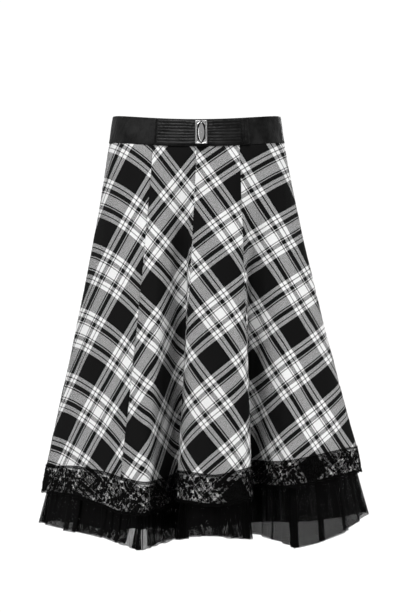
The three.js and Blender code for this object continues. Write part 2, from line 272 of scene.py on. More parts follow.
class Nodes:
    """Short way to write the nodes of a material or of the world."""

    def __init__(self, owner):
        owner.use_nodes = True
        self.owner, self.tree = owner, owner.node_tree
        self.tree.nodes.clear()

    def add(self, kind, *inputs, **settings):
        node = self.tree.nodes.new(kind)
        for key, value in settings.items():
            setattr(node, key, value)
        for socket, value in zip(node.inputs, inputs):
            self.feed(socket, value)
        return node

    def feed(self, socket, value):
        if isinstance(value, bpy.types.NodeSocket):
            self.tree.links.new(value, socket)
        elif value is not None:
            socket.default_value = value

    def math(self, operation, a, b=None):
        return self.add("ShaderNodeMath", a, b, operation=operation).outputs[0]

    plus = partialmethod(math, "ADD")
    minus = partialmethod(math, "SUBTRACT")
    times = partialmethod(math, "MULTIPLY")

    def ramp(self, value, stops, mode="LINEAR"):
        node = self.add("ShaderNodeValToRGB", value)
        node.color_ramp.interpolation = mode
        elements = node.color_ramp.elements
        while len(elements) < len(stops):
            elements.new(1.0)
        for element, (position, grey) in zip(elements, stops):
            element.position = position
            element.color = (grey, grey, grey, 1)
        return node.outputs[0]

    def fill(self, node, **named):
        """Feeds a node's inputs by name and gives its first output."""
        for key, value in named.items():
            self.feed(node.inputs[key.replace("_", " ")], value)
        return node.outputs[0]

    def noise(self, vector, scale, detail=2.0, rough=0.5):
        node = self.add("ShaderNodeTexNoise")
        return self.fill(node, Vector=vector, Scale=scale, Detail=detail, Roughness=rough)

    def mix(self, factor, a, b, blend_type="MIX"):
        node = self.add("ShaderNodeMix", data_type="RGBA", blend_type=blend_type)
        self.feed(node.inputs[0], factor)
        self.feed(node.inputs[6], a)
        self.feed(node.inputs[7], b)
        return node.outputs[2]

    def uv(self):
        return self.add("ShaderNodeUVMap", uv_map="flat").outputs[0]

    def place(self):
        return self.add("ShaderNodeTexCoord").outputs["Object"]

    def bump(self, height, strength, distance, under=None):
        node = self.add("ShaderNodeBump")
        return self.fill(node, Strength=strength, Distance=distance, Height=height, Normal=under)

    def surface(self, colour, rough, normal=None, alpha=None, **values):
        shader = self.add("ShaderNodeBsdfPrincipled")
        result = self.fill(shader, Base_Color=colour, Roughness=rough, Normal=normal, **values)
        if alpha is not None:
            clear = self.add("ShaderNodeBsdfTransparent").outputs[0]
            result = self.add("ShaderNodeMixShader", alpha, clear, result).outputs[0]
        self.add("ShaderNodeOutputMaterial", result)
        return self.owner


def material_nodes(name):
    return Nodes(bpy.data.materials.new(name))


# The check: its repeat, and its stripes in order, width and light (1) or dark (0)
REPEAT = 89.0
HALF_SETT = [(4.85, 1), (1.45, 0), (4.85, 1), (5.8, 0), (1.45, 1), (1.6, 0)]
SETT = [(34.8, 0), *HALF_SETT, (12.8, 1), *reversed(HALF_SETT)]
# Greys of the yarn, and threads in one repeat
DARK, LIGHT, THREADS = 0.0035, 0.86, 356.0


def plaid_material():
    n = material_nodes("plaid_twill")
    split = n.add("ShaderNodeSeparateXYZ", n.uv()).outputs
    edges = running([width for width, _ in SETT])
    stops = [(edge / edges[-1], LIGHT if light else DARK) for edge, (_, light) in zip(edges, SETT)]
    colours = [n.ramp(n.math("FRACT", split[k]), stops, "CONSTANT") for k in (0, 1)]
    threads = [n.times(split[k], THREADS) for k in (0, 1)]
    whole = [n.math("FLOOR", thread) for thread in threads]
    diagonal = n.math("FRACT", n.times(n.plus(whole[0], whole[1]), 0.25))
    over = n.math("LESS_THAN", diagonal, 0.5)
    colour = n.mix(over, colours[0], colours[1])
    slub = n.ramp(n.noise(n.place(), 700, 3), [(0.25, 0.9), (0.7, 1.0)])
    # A light thread is dimmer where it crosses dark ones: painted shade, as if the dark threads beside it
    # shaded it
    crossing_shade_mask = n.math("ABSOLUTE", n.minus(colours[0], colours[1]))
    painted_crossing_shade = n.minus(1.0, n.times(crossing_shade_mask, 0.34))
    woven = n.mix(1.0, colour, n.times(painted_crossing_shade, slub), "MULTIPLY")
    rounds = [n.math("ABSOLUTE", n.math("SINE", n.times(thread, math.pi))) for thread in threads]
    height = n.plus(n.times(rounds[0], n.minus(1.0, over)), n.times(rounds[1], over))
    return n.surface(woven, 0.82, n.bump(height, 0.3, 0.0001), Specular_IOR_Level=0.12)


def inner_shade_material():
    """The cloth's inner face, painted near black as the shade inside the skirt: no stripes show from inside
    through the net.
    """
    n = material_nodes("painted_inner_shade")
    weave = n.noise(n.place(), 900, 2)
    return n.surface(n.ramp(weave, [(0.3, 0.003), (0.7, 0.006)]), 0.8, n.bump(weave, 0.2, 0.0001),
                     Specular_IOR_Level=0.1)


def satin_material():
    n = material_nodes("black_satin")
    split = n.add("ShaderNodeSeparateXYZ", n.uv()).outputs
    threads = n.math("SINE", n.times(split[1], 2 * math.pi / 0.34))
    cross = n.math("SINE", n.plus(n.times(split[0], 2 * math.pi / 1.3), threads))
    height = n.plus(n.times(threads, 0.6), n.times(cross, 0.3))
    # Painted sheen: lighter patches at random in the black base colour stand for the satin's mottled sheen
    cloud = n.noise(n.place(), 38, 4, 0.6)
    colour = n.ramp(cloud, [(0.38, 0.0015), (0.64, 0.013)])
    rough = n.ramp(n.noise(n.place(), 60, 2), [(0.3, 0.40), (0.7, 0.5)])
    crush = n.noise(n.place(), 62, 3, 0.6)
    normal = n.bump(height, 0.15, 0.0001, n.bump(crush, 0.8, 0.003))
    return n.surface(colour, rough, normal, Sheen_Weight=0.03, Sheen_Roughness=0.35,
                     Specular_IOR_Level=0.15)


def thread_material():
    n = material_nodes("lace_thread")
    fibre = n.noise(n.place(), 2600, 2)
    colour = n.ramp(n.noise(n.place(), 180, 2), [(0.3, 0.001), (0.7, 0.002)])
    return n.surface(colour, 0.62, n.bump(fibre, 0.4, 0.0002), Specular_IOR_Level=0.06)


def net_material(name, pitch, thread, grey, wander=0.0):
    """Net of round holes in a half-drop grid; pitch, thread and wander are in mm, as its uv is."""
    n = material_nodes(name)
    x, y = n.add("ShaderNodeSeparateXYZ", n.uv()).outputs[:2]
    if wander:
        x = n.plus(x, n.times(n.noise(n.place(), 14, 2), wander))
    row = n.math("DIVIDE", y, pitch * 0.87)
    shift = n.times(n.math("MODULO", n.math("FLOOR", row), 2.0), 0.5)
    column = n.plus(n.math("DIVIDE", x, pitch), shift)
    # Distance from the middle of a cell, so measured that the hole is round with flat sides
    cubes = [n.math("POWER", n.math("ABSOLUTE", n.minus(n.math("FRACT", way), 0.5)), 3.0)
             for way in (column, row)]
    hole = n.math("POWER", n.plus(*cubes), 1 / 3)
    solid = n.math("GREATER_THAN", hole, 0.5 * (1 - thread / pitch))
    return n.surface((grey, grey, grey, 1), 0.6, alpha=solid, Specular_IOR_Level=0.05)


def metal_material(name, grey, rough, grain):
    n = material_nodes(name)
    cloud = n.noise(n.place(), grain, 3)
    colour = n.ramp(cloud, [(0.3, grey * 0.86), (0.7, grey)])
    roughness = n.ramp(cloud, [(0.3, rough * 0.8), (0.7, rough * 1.3)])
    return n.surface(colour, roughness, n.bump(cloud, 0.05, 0.0001), Metallic=1.0)


PLAID = plaid_material()
INNER_SHADE = inner_shade_material()
SATIN = satin_material()
THREAD = thread_material()
GROUND = net_material("lace_ground_net", 2.6, 0.09, 0.001)
TULLE_NET = net_material("tulle_net", 1.15, 0.57, 0.001, wander=0.3)
METAL = metal_material("buckle_metal", 0.5, 0.42, 300)
# Near-black metal of the ditch round the stone, painted dark also as the shade of the gap round the stone
DITCH_SHADE_METAL = metal_material("buckle_ditch_painted_shade", 0.02, 0.4, 300)
STONE_FINISH = metal_material("stone_polish", 0.9, 0.05, 120)


def finish_piece(obj, material, slot, *nodes):
    obj.data.materials.clear()
    obj.data.materials.append(material)
    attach(obj, "root")
    if nodes:
        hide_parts(*nodes)
    return obj


CHECK_COLUMNS = ("angle_a", "angle_b", "start_a", "start_b", "down_a", "turn_a", "side_a",
                 "down_b", "turn_b", "side_b")
CHECK_ROWS = [
    (22.5, 22.5, 21, 13.5, 1, -0.5, -34, 4, 16.5, 3.5),
    (38.5, 36.5, 72.5, 81.5, 4, 27.5, 4.5, 0, 1, 15.5),
    (52.5, 53.5, 81, 43, -0.5, 9, 2.5, -3, 6.5, 0),
    (61, 63, 14, 56.5, 13, -14.5, 16.5, -7, 11.5, 1),
]
CHECKS = [dict(zip(CHECK_COLUMNS, row)) for row in CHECK_ROWS]
# The back has the same angles without the pull
CHECKS += [dict(zip(CHECK_COLUMNS, row[:4] + (0,) * 6)) for row in CHECK_ROWS]
# The cloth at the sides turned less far from the camera than this surface does, so that the
# stripes of the gores beside the side seams count only this share of its depth
SIDE_DEPTH = 0.5
SIDE_GORES = (0, 3, 4, 7)
COLUMNS_A_LINE = 14
ROWS_TO_LACE = 120
ROWS_UNDER_LACE = 12
# Thickness of the shell that shows
SHELL = 0.8


def flat_coordinates(points, lace_row, depth_share=1.0):
    """Where a gore's points lie on its flat cut in mm, its width in each row and its middle line."""
    across = steps(points * (1, depth_share, 1), 1)
    u = np.concatenate([np.zeros((len(points), 1)), np.cumsum(across, 1)], 1)
    width = u[:, -1]
    u = u - width[:, None] / 2
    v = np.concatenate([np.zeros((1, points.shape[1])), np.cumsum(steps(points), 0)], 0)
    middle = v[:, points.shape[1] // 2]
    slope = (width[lace_row] - width[0]) / middle[lace_row]
    start = width[0] / slope
    angle = u / (start + middle)[:, None]
    return (start + v) * np.sin(angle), (start + v) * np.cos(angle) - start, width, middle


def check_place(X, Y, check):
    """How many repeats of each set of stripes lie before a point of the flat gore."""
    side, way = X / 100, (Y - 250) / 250
    a, b = math.radians(check["angle_a"]), math.radians(check["angle_b"])

    def pull(which):
        return (check["down_" + which] * way ** 2 + check["turn_" + which] * side * way
                + check["side_" + which] * side ** 2)

    first = -X * math.sin(a) + Y * math.cos(a) - check["start_a"] + pull("a")
    second = X * math.cos(b) + Y * math.sin(b) - check["start_b"] + pull("b")
    return pair(first, second) / REPEAT


def make_gore(k, name):
    """Plaid shell of one gore, its inside painted dark as shade, with its check laid on the flat cut."""
    first, last = SEAM_LINES[k], SEAM_LINES[k + 1]
    places = np.linspace(first, last, (last - first) * COLUMNS_A_LINE + 1)
    down = np.linspace(0, 1, ROWS_TO_LACE + 1)[:, None] + 0 * places
    below = np.linspace(0, 1, ROWS_UNDER_LACE + 1)[1:, None]
    shares = np.concatenate([down, 1 + below * (lace_end(places, CLOTH_SHORT) - 1)])
    place_grid = np.broadcast_to(places, shares.shape)
    points = cloth(place_grid, shares)
    X, Y, _, _ = flat_coordinates(points, ROWS_TO_LACE, SIDE_DEPTH if k in SIDE_GORES else 1.0)
    obj = shell(name + "_cloth", skin(place_grid, shares), skin(place_grid, shares, -SHELL),
                check_place(X, Y, CHECKS[k]))
    finish_piece(obj, PLAID, "plaid", name)
    # The inner faces get the near-black colour painted as the shade inside the skirt
    obj.data.materials.append(INNER_SHADE)
    quads = (shares.shape[0] - 1) * (shares.shape[1] - 1)
    inner = np.arange(len(obj.data.polygons)) // quads == 1
    obj.data.polygons.foreach_set("material_index", inner.astype(np.int32))


for k, name in enumerate(GORES):
    make_gore(k, name)


# Lace
class Lacework:
    """Collects threads and filled motifs on the flat strip: along, down and lift in mm."""

    def __init__(self):
        self.points, self.faces, self.size = [], [], 0

    def put(self, points, faces):
        self.points.append(np.asarray(points, float))
        self.faces.extend([[i + self.size for i in face] for face in faces])
        self.size += len(points)

    def thread(self, line, width, lift, taper=True, closed=False):
        """Ridge along a line: flat below, with its crest at this lift."""
        line = np.asarray(line, float)
        if closed:
            side = np.roll(line, -1, 0) - np.roll(line, 1, 0)
        else:
            side = np.gradient(line, axis=0)
        side = side / np.maximum(np.linalg.norm(side, axis=1, keepdims=True), 1e-6)
        side = pair(-side[:, 1], side[:, 0]) * width / 2
        if taper and not closed:
            t = np.linspace(0, 1, len(line))
            side = side * np.clip(np.minimum(t, 1 - t) * 6 + 0.35, 0, 1)[:, None]
        flat = np.zeros((len(line), 1))
        ring = np.stack([np.hstack([line - side, flat]), np.hstack([line, flat + lift]),
                         np.hstack([line + side, flat])], 1)
        faces = []
        count = len(line)
        for i in range(count if closed else count - 1):
            a, b = i * 3, (i + 1) % count * 3
            faces += [(a + m, a + (m + 1) % 3, b + (m + 1) % 3, b + m) for m in range(3)]
        if not closed:
            faces += [(0, 2, 1), (count * 3 - 3, count * 3 - 2, count * 3 - 1)]
        self.put(ring.reshape(-1, 3), faces)

    def fill(self, outline, lift):
        """Domed closed patch inside an outline."""
        outline = np.asarray(outline, float)
        centre = outline.mean(0)
        count = len(outline)
        middle = centre + (outline - centre) * 0.6
        points = [(x, y, 0.05) for x, y in outline] + [(x, y, lift) for x, y in middle]
        points += [(*centre, lift), (*centre, -0.05)]
        faces = []
        for i in range(count):
            j = (i + 1) % count
            faces += [(i, j, count + j, count + i), (count + i, count + j, 2 * count),
                      (j, i, 2 * count + 1)]
        self.put(points, faces)


def turned(points, centre, angle):
    c, s = math.cos(angle), math.sin(angle)
    return points @ np.array([[c, s], [-s, c]]) + centre


def leaf_half(t, width):
    return width / 2 * np.sin(np.pi * t ** 0.85)


def leaf_outline(length, width):
    t = np.linspace(0, 1, 7)
    half = leaf_half(t, width)
    upper = pair(t * length, half)
    lower = pair(t * length, -half)[1:-1][::-1]
    return np.concatenate([upper, lower])


def draw_leaf(work, centre, angle, length, width):
    outline = turned(leaf_outline(length, width), centre, angle)
    if rng.random() < OPEN_LEAVES:
        work.thread(outline, 0.8, 0.6, closed=True)
    else:
        work.fill(outline, 0.35)
    vein = pair(np.linspace(-1.2, length * 0.9, 6), 0.06 * np.linspace(-1, 1, 6))
    work.thread(turned(vein, centre, angle), 0.6, 0.75)


def draw_petals(work, centre, turn, count, inner, outer, spread, notch=0.12, filled=True):
    """Ring of petals between two radii; spread is half a petal's angle and notch dents its tip."""
    for m in range(count):
        angle = turn + 2 * math.pi * m / count
        t = np.linspace(-1, 1, 9)
        radius = inner + (outer - inner) * (1 - np.abs(t) ** 2.6) * (1 - notch * bump(t, 0.25))
        swing = t * spread * (0.55 + 0.45 * (radius - inner) / (outer - inner))
        edge = pair(radius * np.cos(swing), radius * np.sin(swing))
        petal = turned(edge, centre, angle)
        if filled:
            work.fill(petal, 0.38)
        work.thread(petal, 0.75 if filled else 0.85, 0.7, taper=False)


def draw_spiral(work, centre, turn, radius, turns, hand, width):
    t = np.linspace(0.12, 1, max(8, int(10 * turns)))
    angle = turn + hand * 2 * math.pi * turns * t
    line = pair(np.cos(angle), np.sin(angle)) * (radius * t)[:, None] + centre
    work.thread(line, width, 0.65)


def ring_line(centre, radius):
    return circle(8) * radius + centre


def draw_ring(work, centre, radius, width):
    work.thread(ring_line(centre, radius), width, 0.5, closed=True)


# Depth of the lace from its top edge, and length of a scallop of its lower edge
DEEP, SCALLOP = 45.0, 16.5
# Share of the leaves that are an outline only, the grain of the table of what is covered, and
# the length of one wave of the stem
OPEN_LEAVES, CELL_MM, WAVE = 0.42, 0.5, 62
# Leaves and holes, larger ones first: length, or least and most radius, then tries for each
# TRY_LENGTH of lace, and how much of the place may be taken. Holes under RING_FROM are filled
LEAVES = ((11.5, 600, 0.12), (9.0, 700, 0.10), (6.5, 500, 0.08))
HOLES = ((3.6, 5.2, 2600, 0.2), (2.6, 3.5, 2600, 0.16), (1.2, 2.2, 4600, 0.45))
TRY_LENGTH, RING_FROM = 780, 2.5


def scallop(s, inset=0.0):
    """Depth of the lower edge along the strip."""
    return DEEP - 2.9 + 2.4 * np.abs(np.sin(np.pi * s / SCALLOP)) ** 0.8 - inset


class Room:
    """Which part of the flat strip is already covered."""

    def __init__(self, length):
        along, down = np.arange(0, length, CELL_MM), np.arange(0, DEEP + 2, CELL_MM)
        s, d = np.meshgrid(along, down, indexing="ij")
        self.taken = (d < 4.2) | (d > scallop(s, 4.3))

    def cells(self, points):
        index = (np.asarray(points) / CELL_MM).astype(int)
        inside = (index >= 0).all(1) & (index < self.taken.shape).all(1)
        return index[inside], inside.mean()

    def is_free(self, points, limit):
        index, inside = self.cells(points)
        return inside > 0.98 and self.taken[index[:, 0], index[:, 1]].mean() <= limit

    def cover(self, points):
        index, _ = self.cells(points)
        self.taken[index[:, 0], index[:, 1]] = True


def disc(centre, radius):
    """Points all over a disc."""
    reach = np.linspace(0, radius, int(radius / 0.4) + 2)
    angle, reach = np.meshgrid(np.linspace(0, 2 * math.pi, 25), reach)
    return pair(np.cos(angle) * reach, np.sin(angle) * reach).reshape(-1, 2) + centre


def leaf_area(centre, angle, length, width):
    """Points all over a leaf."""
    t, side = np.linspace(0, 1, int(length / 0.4)), np.linspace(-1, 1, int(width / 0.35) + 2)
    t, side = np.meshgrid(t, side)
    return turned(pair(t * length, side * leaf_half(t, width)).reshape(-1, 2), centre, angle)


def draw_rose(work, room, centre, radius, hand):
    turn = rng.uniform(0, 1)
    draw_petals(work, centre, turn, 7, radius * 0.62, radius, 0.40)
    draw_petals(work, centre, turn + 0.4, 5, radius * 0.30, radius * 0.66, 0.74, 0.0)
    draw_spiral(work, centre, turn, radius * 0.31, 1.7, hand, 1.1)
    room.cover(disc(centre, radius + 0.5))


def draw_bloom(work, room, centre, radius, count):
    turn = rng.uniform(0, 1)
    draw_petals(work, centre, turn, count, radius * 0.26, radius, 0.56 * 6 / count, filled=False)
    draw_ring(work, centre, radius * 0.17, 0.9)
    room.cover(disc(centre, radius + 0.4))


def vine_depth(s, wave):
    return 22.0 + 9.5 * np.sin(2 * math.pi * s / wave)


def random_spot(length, top, foot):
    return np.array([rng.uniform(2, length - 2), rng.uniform(top, foot)])


def draw_lace(work, length):
    """Roses, blooms, a waving stem, leaves, round holes and dots."""
    room = Room(length)
    waves = round(length / WAVE)
    wave = length / waves
    # Roses above and smaller blooms below the stem
    for m in range(waves):
        spot = np.array([(m + 0.26) * wave, 21.5 + rng.uniform(-2, 1)])
        draw_rose(work, room, spot, rng.uniform(12, 13.2), 1 if m % 2 else -1)
        spot = np.array([(m + 0.72) * wave, 14.0 + rng.uniform(-1, 1)])
        draw_bloom(work, room, spot, rng.uniform(7.6, 8.4), 6)
        spot = np.array([(m + 0.80) * wave, 32 + rng.uniform(-1, 1)])
        draw_bloom(work, room, spot, rng.uniform(5.2, 6), 5)
    s = np.arange(2, length - 2, 1.6)
    work.thread(pair(s, vine_depth(s + wave / 2, wave)), 1.1, 0.55)
    for size, tries, limit in LEAVES:
        for _ in range(int(tries * length / TRY_LENGTH)):
            spot = random_spot(length, 4, 40)
            angle = rng.uniform(-math.pi, math.pi)
            leaf = size * rng.uniform(0.9, 1.1), size * rng.uniform(0.44, 0.52)
            if room.is_free(leaf_area(spot, angle, *leaf), limit):
                draw_leaf(work, spot, angle, *leaf)
                room.cover(leaf_area(spot, angle, leaf[0] + 0.5, leaf[1] + 0.7))
    for low, high, tries, limit in HOLES:
        for _ in range(int(tries * length / TRY_LENGTH)):
            spot = random_spot(length, 5, 39)
            radius = rng.uniform(low, high)
            if room.is_free(disc(spot, radius), limit):
                if high > RING_FROM:
                    draw_ring(work, spot, radius - 0.45, 0.95)
                else:
                    work.fill(ring_line(spot, radius), 0.35)
                room.cover(disc(spot, radius + 0.2))


def draw_border(work, length):
    """Cords along both edges, a zigzag under the upper one and small rings along the lower one."""
    s = np.linspace(0, length, int(length / 1.7))
    for y, width, lift in ((0.8, 1.1, 0.8), (3.4, 0.7, 0.5)):
        work.thread(pair(s, 0 * s + y), width, lift, taper=False)
    x = np.arange(0, length - 2, 1.6)
    zigzag = pair(x, 2.2 + 0.9 * (-1.0) ** np.arange(len(x)))
    work.thread(zigzag, 0.6, 0.4, taper=False)
    for inset, width, lift in ((0.5, 1.2, 0.7), (3.6, 1.0, 0.6)):
        work.thread(pair(s, scallop(s, inset)), width, lift, taper=False)
    for start, step, inset, radius, width in ((1.4, 2.75, 2.05, 0.62, 0.7), (2.0, 4.125, -0.45, 0.75, 0.6)):
        for x in np.arange(start, length - 1, step):
            draw_ring(work, np.array([x, scallop(x, inset)]), radius, width)


def strip_frame(first, last):
    """Tables that turn a length along the strip into a place round the skirt."""
    places = np.linspace(first, last, (last - first) * 40 + 1)
    points = skin(places, 1 + 0.4 * (lace_end(places) - 1), 0.6)
    return places, running(steps(points))


def on_strip(table, flat_points, base):
    """Points on the skirt from along, down and lift on the flat strip, this far off the cloth."""
    places, along = table
    place = np.interp(flat_points[:, 0], along, places)
    share = 1 + (lace_end(place) - 1) * flat_points[:, 1] / DEEP
    return skin(place, share, base + flat_points[:, 2])


def make_lace(side):
    """Net with its flowers over the hem of one side's plaid."""
    first, last, gores = SIDES[side]
    table = strip_frame(first, last)
    length = table[1][-1]
    work = Lacework()
    draw_lace(work, length)
    draw_border(work, length)
    flat_points = np.concatenate(work.points)
    flat_points[:, 0] = np.clip(flat_points[:, 0], 0.2, length - 0.2)
    flat_points[:, 1] = np.clip(flat_points[:, 1], 0.1, DEEP + 0.5)
    flowers = make_mesh(f"lace_{side}_flowers", on_strip(table, flat_points, 0.65), work.faces)
    finish_piece(flowers, THREAD, "lace")
    s = np.linspace(0, length, int(length / 2.2))
    t = np.linspace(0, 1, 22)[:, None]
    grid = np.stack([s + 0 * t, t * scallop(s), 0 * s + 0 * t], -1)
    points = on_strip(table, grid.reshape(-1, 3), 0.55)
    net = make_mesh(f"lace_{side}_net", points, grid_faces(len(t), len(s)), grid[..., :2])
    finish_piece(net, GROUND, "lace", f"lace_{side}")
    print("lace", side, round(length), "mm,", len(work.faces), "faces")


for side in SIDES:
    make_lace(side)


# Gathered tulle
TULLE_ROWS, TULLE_COLUMNS = 30, 40
# The plies start behind the lace, at this share of the way to its upper edge
TULLE_TOP = 0.95
# Two plies: how far inside the cloth, how much shorter, where their gathers start, and how far
# the net is turned, in degrees, so that the holes of the plies do not line up
PLIES = [dict(name="outer", inside=0.0, shorter=0.0, start=0.0, grain=8),
         dict(name="inner", inside=2.4, shorter=0.8, start=2.1, grain=41)]
# A third ply lies under the left and middle of the front only, between these fold lines
UNDER_PLY = dict(name="under", inside=4.6, shorter=1.6, start=4.4, grain=69)
UNDER_FROM, UNDER_TO = 2, 13
# The nets of the back are turned this much further
BACK_GRAIN = 15.3
# The inner ply has slipped up here: place round the skirt, half its width, and how far
SLIPPED = (5.0, 0.72, 27)
# Laps of the outer ply, where it doubles back on itself: place round the skirt and half width.
# The front's are listed one by one, the back's given by a formula
LAPS = [(1.70, 0.26), (2.15, 0.16), (2.85, 0.13), (3.12, 0.24), (3.55, 0.10), (4.0, 0.14),
        (4.72, 0.10), (4.93, 0.13), (5.3, 0.08), (15.5, 0.09), (15.8, 0.16), (16.7, 0.22),
        (17.08, 0.24), (17.55, 0.08), (17.95, 0.28), (18.5, 0.12), (18.78, 0.22), (19.4, 0.09)]
LAPS += [(20.7 + 0.83 * k + 0.2 * math.sin(2.3 * k), 0.09 + 0.09 * abs(math.sin(1.7 * k)))
         for k in range(16)]
LAP_PULL = 2.5


def lap_offsets(places, free):
    """How far each point of the outer ply is pulled back along the hem, and out, by the laps."""
    back, out = 0, 0
    for middle, half in LAPS:
        wide = half * (0.75 + 0.25 * free)
        u = (places - middle - 0.05 * free * math.sin(middle * 9)) / wide
        back = back - LAP_PULL * wide * u * np.exp(-u ** 2)
        out = out - 0.5 * np.tanh(2 * u) * np.exp(-(u / 1.6) ** 2)
    return back, out


def gathers(places, start):
    """Angles of the broad and the fine gathers along the hem, and how strong they are."""
    # They crowd together where the inner ply has slipped
    crowd = 2.2 * np.tanh((places - SLIPPED[0]) / 1.5)
    broad = places + 0.4 * np.sin(places * 1.3 + start) + 0.2 * np.sin(places * 3.1 + 2 * start)
    fine = 3.4 * places + 0.25 * np.sin(places * 2.3 + start) + 0.1 * np.sin(places * 7.9)
    strength = 0.7 + 0.4 * np.sin(places * 2.9 + 0.5 + start) + 0.3 * np.sin(places * 6.7 + start)
    return 2 * np.pi * (broad + crowd + start), 2 * np.pi * fine, np.clip(strength, 0.25, 1.3)


def tulle_ply(side, ply, first, last):
    """One ply of net from behind the lace to the tulle's hem."""
    count = (last - first) * TULLE_COLUMNS
    places = np.linspace(first + 0.01, last - 0.01, count + 1)
    broad, fine, strength = gathers(places, ply["start"])
    width = np.linalg.norm(np.gradient(cloth(places, 1.0), axis=0), axis=1) * TULLE_COLUMNS / 2
    room = np.clip(width / 20, 0.3, 1.2)
    slip = SLIPPED[2] * np.exp(-((places - SLIPPED[0]) / SLIPPED[1]) ** 20) if ply["start"] else 0
    hem = share_at(places, line_value("net", places) + ply["shorter"] + slip)
    lace_low = lace_end(places)
    t = np.linspace(0, 1, TULLE_ROWS)[:, None]
    share = TULLE_TOP + (hem - TULLE_TOP) * t + 0 * places
    under = np.clip((share - TULLE_TOP) / (lace_low - TULLE_TOP), 0, 1)
    free = np.clip((share - lace_low) / (hem - lace_low), 0, 1)
    depth = 2.6 + 4.4 * under - 2.6 * free + ply["inside"]
    swing = (room * strength * np.cos(broad) * (0.6 + 1.9 * free) * under
             + room * np.cos(fine) * (0.15 + 0.15 * under - 0.2 * free))
    sway = 0.05 * np.sin(2 * broad) * strength ** 3 * under * (0.5 + 0.8 * free)
    if ply["name"] == "outer":
        back, out = lap_offsets(places, free)
        shown = np.clip(under * 2 - 1, 0, 1)
        sway, swing = sway + back * shown, swing + out * shown
    outward = unit(normal(places, 1.0) * (1, 1, 0))
    points = cloth(places + sway, share) + outward * (swing - depth)[..., None]
    cut = running(steps(points, 1)[TULLE_ROWS * 3 // 4])
    fall = running(steps(points[:, count // 2]))
    grain = math.radians(ply["grain"] + (BACK_GRAIN if side == "back" else 0))
    along, down = np.meshgrid(cut, fall)
    uv = np.stack([along * math.cos(grain) + down * math.sin(grain),
                   down * math.cos(grain) - along * math.sin(grain)], -1)
    obj = make_mesh(f"tulle_{side}_{ply['name']}", points, grid_faces(*share.shape), uv)
    finish_piece(obj, TULLE_NET, "tulle", f"tulle_{side}")


for ply in PLIES:
    for side, (first, last, _) in SIDES.items():
        tulle_ply(side, ply, first, last)
tulle_ply("front", UNDER_PLY, UNDER_FROM, UNDER_TO)


# Waistband
BAND_CORNER, BAND_COLUMNS = 1.2, 220
BAND_X = (BAND["top_x"] + BAND["foot_x"]) / 2
# Radius that turns an angle round the waist into a length for the weave
BAND_RADIUS = 111.0
# Soft dents of the satin in front: place on the waist in degrees, height, half width, half
# height, depth, lean
DENTS = [(14, 2, 5, 11, 0.5, 0.3), (30, -6, 6, 8, 0.45, -0.4), (42, 5, 4, 9, 0.4, 0.5),
         (52, -3, 3, 12, 0.5, 0.2), (136, 4, 3, 13, 0.9, -0.35), (143, -5, 4, 9, 0.6, 0.4),
         (152, 4, 5, 10, 0.55, -0.5), (163, -2, 4, 12, 0.7, 0.3), (172, 3, 3, 13, 0.6, -0.2)]
# Those at the back are alike
BACK_DENTS = (205, 232, 262, 291, 322, 346)


def band_point(turn, height, out):
    """Point on the band by its turn in degrees, its height from the middle and how far out."""
    down = 0.5 - height / (2 * BAND["half"])
    angle = np.radians(turn)
    x = BAND["top_x"] + (BAND["foot_x"] - BAND["top_x"]) * down
    y = BAND["top_y"] + (BAND["foot_y"] - BAND["top_y"]) * down
    point = np.stack([-x * np.cos(angle), -y * np.sin(angle), height + dip_at(angle)], -1)
    outward = unit(np.stack([-y * np.cos(angle), -x * np.sin(angle), 0 * x * angle], -1))
    return point + outward * np.asarray(out)[..., None]


def turn_at(x):
    return np.degrees(np.arccos(-np.asarray(x, float) / BAND_X))


def section_loop(half, thick, corner):
    """Closed outline of the band's section: height and out, from the top of the outside round."""
    def arc(height, out, quarter):
        angle = np.linspace(0, np.pi / 2, 5)[1:] + quarter * np.pi / 2
        return pair(height - corner * np.sin(angle), out + corner * np.cos(angle))

    high, deep = half - corner, thick - corner
    face = pair(np.linspace(high, -high, 22), np.zeros(22))
    back = pair(np.linspace(-high, high, 5)[1:], np.full(4, -thick))
    return np.concatenate([face, arc(-high, -corner, 0), arc(-high, -deep, 1), back,
                           arc(high, -deep, 2), arc(high, -corner, 3)[:-1]])


def satin_dents(turn, height):
    total = 0.12 * np.sin(turn * 0.31 + height * 0.12) + 0.1 * np.sin(turn * 0.83 - height * 0.2)
    for place, middle, wide, high, depth, lean in DENTS:
        across = (turn - place - lean * (height - middle) / 2) / wide
        total = total - depth * np.exp(-across ** 2 - ((height - middle) / high) ** 2)
    for place in BACK_DENTS:
        across = (turn - place - 0.2 * height) / 5
        total = total - 0.4 * np.exp(-across ** 2 - (height / 12) ** 2)
    return total


def make_band(name, start, stop):
    """Soft band swept along half the waist, closed at its ends."""
    turns = np.linspace(start, stop, BAND_COLUMNS)
    loop = section_loop(BAND["half"], BAND["thick"], BAND_CORNER)
    height, depth = (loop[:, column][:, None] + 0 * turns for column in (0, 1))
    turn = np.broadcast_to(turns, height.shape)
    lift = np.where(depth > -BAND["thick"] * 0.6, satin_dents(turn, height), 0)
    points = band_point(turn, height, depth + lift)
    rows, columns = height.shape
    i, j = np.meshgrid(np.arange(rows), np.arange(columns - 1), indexing="ij")
    k = (i + 1) % rows
    faces = np.stack([i * columns + j, k * columns + j, k * columns + j + 1, i * columns + j + 1], -1)
    faces = faces.reshape(-1, 4).tolist()
    faces.append([r * columns for r in range(rows)][::-1])
    faces.append([r * columns + columns - 1 for r in range(rows)])
    along_loop = np.broadcast_to(running(steps(loop))[:, None], height.shape)
    return make_mesh(name, points, faces, pair(np.radians(turn) * BAND_RADIUS, along_loop))


for side, start, stop in (("front", 0.05, 179.95), ("back", 180.05, 359.95)):
    band = make_band(f"waistband_{side}_satin", start, stop)
    finish_piece(band, SATIN, "band", f"waistband_{side}")


